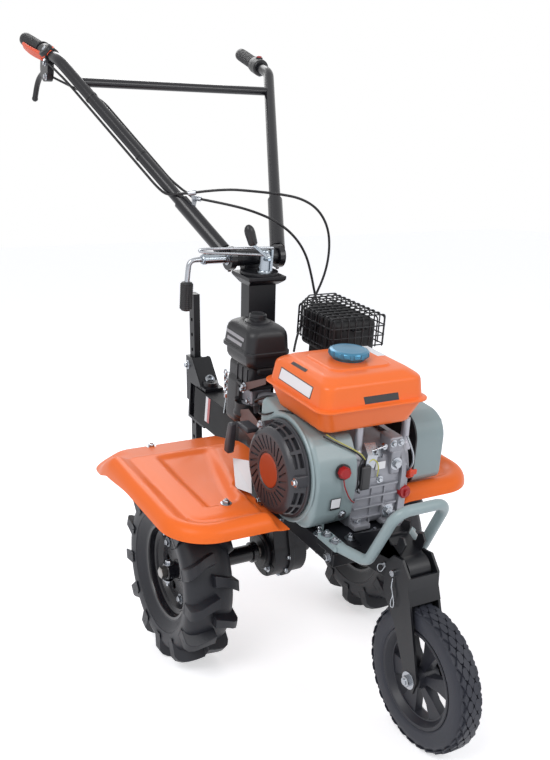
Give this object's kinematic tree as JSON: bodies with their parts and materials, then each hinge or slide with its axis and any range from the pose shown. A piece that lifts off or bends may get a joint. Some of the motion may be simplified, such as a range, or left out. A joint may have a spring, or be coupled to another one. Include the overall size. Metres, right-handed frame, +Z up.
{
  "type": "rotary tiller",
  "caption": "Walk-behind rotary tiller with a small petrol engine, two lugged drive wheels, a folding transport wheel, a swivelling handlebar and a depth bar.",
  "frame": {"origin": "middle of the machine's box, on the ground", "axes": "+X forward, +Y to the walker's left, +Z up"},
  "size_m": [1.4636, 0.75, 1.4209],
  "materials": {
    "orange_paint": "gloss orange paint",
    "grey_green_paint": "semi-gloss pale grey-green paint",
    "black_paint": "satin black powder coat",
    "case_black": "black painted casting",
    "engine_alloy": "as-cast aluminium",
    "black_plastic": "moulded black plastic",
    "black_rubber": "moulded rubber",
    "tyre_rubber": "tyre rubber",
    "bright_zinc": "bright zinc plate",
    "blue_cap": "blue anodised"
  },
  "bodies": {
    "chassis": {"chain_case": "case_black", "deck_frame": "black_paint", "engine": "engine_alloy", "fan_shroud": "grey_green_paint", "recoil_starter": "black_plastic", "recoil_grip": "black_plastic", "fuel_tank": "orange_paint", "fuel_cap": "blue_cap", "air_filter": "black_plastic", "carburettor": "engine_alloy", "muffler": "black_paint", "muffler_guard": "black_paint", "belt_cover": "grey_green_paint", "belt_back_plate": "black_paint", "bumper": "grey_green_paint", "fork_bracket": "black_paint", "fender_right": "orange_paint", "fender_left": "orange_paint", "fender_stays": "black_paint", "handle_post": "black_paint", "hitch_yoke": "black_paint", "throttle_cable": "black_rubber", "clutch_cable": "black_rubber"},
    "drive_wheels": {"drive_shaft": "bright_zinc", "rim_right": "black_paint", "rim_left": "black_paint", "drive_tyre_right": "tyre_rubber", "drive_tyre_left": "tyre_rubber"},
    "front_fork": {"front_fork": "black_paint", "fork_pin": "bright_zinc", "front_axle": "bright_zinc"},
    "front_wheel": {"front_rim": "black_plastic", "front_tyre": "tyre_rubber"},
    "handle_head": {"handle_head": "black_paint", "swivel_clamp": "bright_zinc", "clamp_lever": "bright_zinc", "height_clamp": "bright_zinc"},
    "handlebar": {"handle_arm_right": "black_paint", "handle_arm_left": "black_paint", "handlebars": "black_paint", "grip_right": "black_rubber", "grip_left": "black_rubber", "cable_stop": "bright_zinc", "bar_cables": "black_rubber"},
    "bar_holder": {"bar_holder": "black_paint"},
    "depth_bar": {"depth_bar": "black_paint"}
  },
  "joints": [
    {"name": "drive_wheels_spin", "type": "hinge", "parent": "chassis", "child": "drive_wheels", "pos_m": [0.04594, 0, 0.2], "axis": [0, 1, 0], "continuous": true},
    {"name": "fork_fold", "type": "hinge", "parent": "chassis", "child": "front_fork", "pos_m": [0.54306, 0, 0.33603], "axis": [0, -1, 0], "range_deg": [0, 75]},
    {"name": "front_wheel_spin", "type": "hinge", "parent": "front_fork", "child": "front_wheel", "pos_m": [0.59182, 0, 0.14], "axis": [0, 1, 0], "continuous": true},
    {"name": "handle_swivel", "type": "hinge", "parent": "chassis", "child": "handle_head", "pos_m": [-0.04169, 0, 0.82891], "axis": [0.1311, 0, 0.9914], "range_deg": [-30, 30]},
    {"name": "handle_height", "type": "hinge", "parent": "handle_head", "child": "handlebar", "pos_m": [-0.06292, 0, 0.87206], "axis": [0, 1, 0], "range_deg": [-22, 12], "deforming": ["throttle_cable", "clutch_cable"]},
    {"name": "holder_swing", "type": "hinge", "parent": "chassis", "child": "bar_holder", "pos_m": [-0.30536, 0, 0.51072], "axis": [0.1311, 0, 0.9914], "range_deg": [-15, 15]},
    {"name": "depth_slide", "type": "slide", "parent": "bar_holder", "child": "depth_bar", "axis": [0, 0, 1], "range_m": [-0.12, 0.12]}
  ]
}
